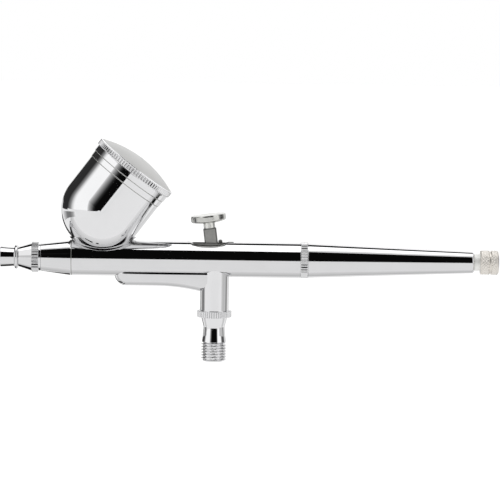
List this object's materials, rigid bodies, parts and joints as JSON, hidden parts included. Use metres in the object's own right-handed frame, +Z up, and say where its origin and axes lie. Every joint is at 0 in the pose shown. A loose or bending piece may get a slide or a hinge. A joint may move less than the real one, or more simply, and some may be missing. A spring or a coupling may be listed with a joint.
{
  "type": "airbrush",
  "caption": "Gravity-feed double-action airbrush: a slim turned barrel with a tilted round-bottomed cup and lid, press-and-pull trigger, hose thread below and tapered handle.",
  "frame": {"origin": "centre of the hose thread's open end, on the valve's upright axis", "axes": "+X along the barrel towards the handle, +Y to the far side, +Z up from the hose thread to the barrel"},
  "size_m": [0.1618, 0.0288, 0.072],
  "materials": {
    "chrome_plate": "mirror-bright chromium plate on brass",
    "satin_nickel": "satin nickel plate",
    "tumbled_steel": "tumbled stainless steel",
    "polished_steel": "polished stainless steel",
    "bare_brass": "turned brass",
    "spring_steel": "drawn spring wire",
    "white_ptfe": "white fluoropolymer",
    "black_rubber": "black nitrile rubber"
  },
  "bodies": {
    "airbrush_body": {"needle_cap": "chrome_plate", "nozzle_cap": "chrome_plate", "head_o_ring": "black_rubber", "nozzle": "bare_brass", "nozzle_seal": "white_ptfe", "main_body": "chrome_plate", "needle_packing": "white_ptfe", "packing_screw": "bare_brass", "paint_cup": "chrome_plate", "cup_collar": "chrome_plate", "air_fairing": "chrome_plate", "valve_stem": "chrome_plate", "hose_connector": "chrome_plate", "plunger_o_ring": "black_rubber", "valve_spring": "spring_steel", "valve_spring_screw": "bare_brass", "needle_spring": "spring_steel", "spring_case": "bare_brass", "rear_ring": "chrome_plate", "handle": "chrome_plate"},
    "lid": {"cup_lid": "satin_nickel"},
    "air_valve": {"air_plunger": "bare_brass", "trigger_pin": "tumbled_steel", "valve_plug": "bare_brass", "valve_seal": "black_rubber"},
    "trigger": {"trigger_stem": "tumbled_steel", "trigger_button": "chrome_plate"},
    "needle_carriage": {"needle": "polished_steel", "needle_tube": "bare_brass", "chuck_nut": "bare_brass", "lever_pin": "tumbled_steel"},
    "lever": {"auxiliary_lever": "tumbled_steel"},
    "stop_feed": {"stop_o_ring": "black_rubber"},
    "stop": {"stop_screw": "bare_brass", "lock_ring": "satin_nickel", "stop_knob": "satin_nickel"}
  },
  "joints": [
    {"name": "lid_lift", "type": "slide", "parent": "airbrush_body", "child": "lid", "axis": [0.6046, 0, 0.7965], "range_m": [0, 0.015]},
    {"name": "trigger_press", "type": "slide", "parent": "airbrush_body", "child": "air_valve", "axis": [0, 0, -1], "range_m": [0, 0.0014], "stiffness_N_per_m": 1500, "springref_m": -0.002, "deforming": ["valve_spring"]},
    {"name": "trigger_pull", "type": "hinge", "parent": "air_valve", "child": "trigger", "pos_m": [0, 0, 0.0288], "axis": [0, 1, 0], "range_deg": [0, 16]},
    {"name": "needle_slide", "type": "slide", "parent": "airbrush_body", "child": "needle_carriage", "axis": [1, 0, 0], "range_m": [0, 0.002], "stiffness_N_per_m": 390, "springref_m": -0.0056, "deforming": ["needle_spring"]},
    {"name": "lever_rock", "type": "hinge", "parent": "needle_carriage", "child": "lever", "pos_m": [0.00214, 0, 0.0353], "axis": [0, 1, 0], "range_deg": [0, 16.1]},
    {"name": "stop_advance", "type": "slide", "parent": "airbrush_body", "child": "stop_feed", "axis": [-1, 0, 0], "range_m": [0, 0.0014]},
    {"name": "stop_turn", "type": "hinge", "parent": "stop_feed", "child": "stop", "pos_m": [0.0861, 0, 0.0332], "axis": [-1, 0, 0], "range_deg": [0, 1010]}
  ],
  "couplings": [
    {"joint": "trigger_pull", "follows": "needle_slide", "rad_per_m": 139.6},
    {"joint": "lever_rock", "follows": "needle_slide", "rad_per_m": 139.6},
    {"joint": "stop_turn", "follows": "stop_advance", "rad_per_m": 12566}
  ]
}
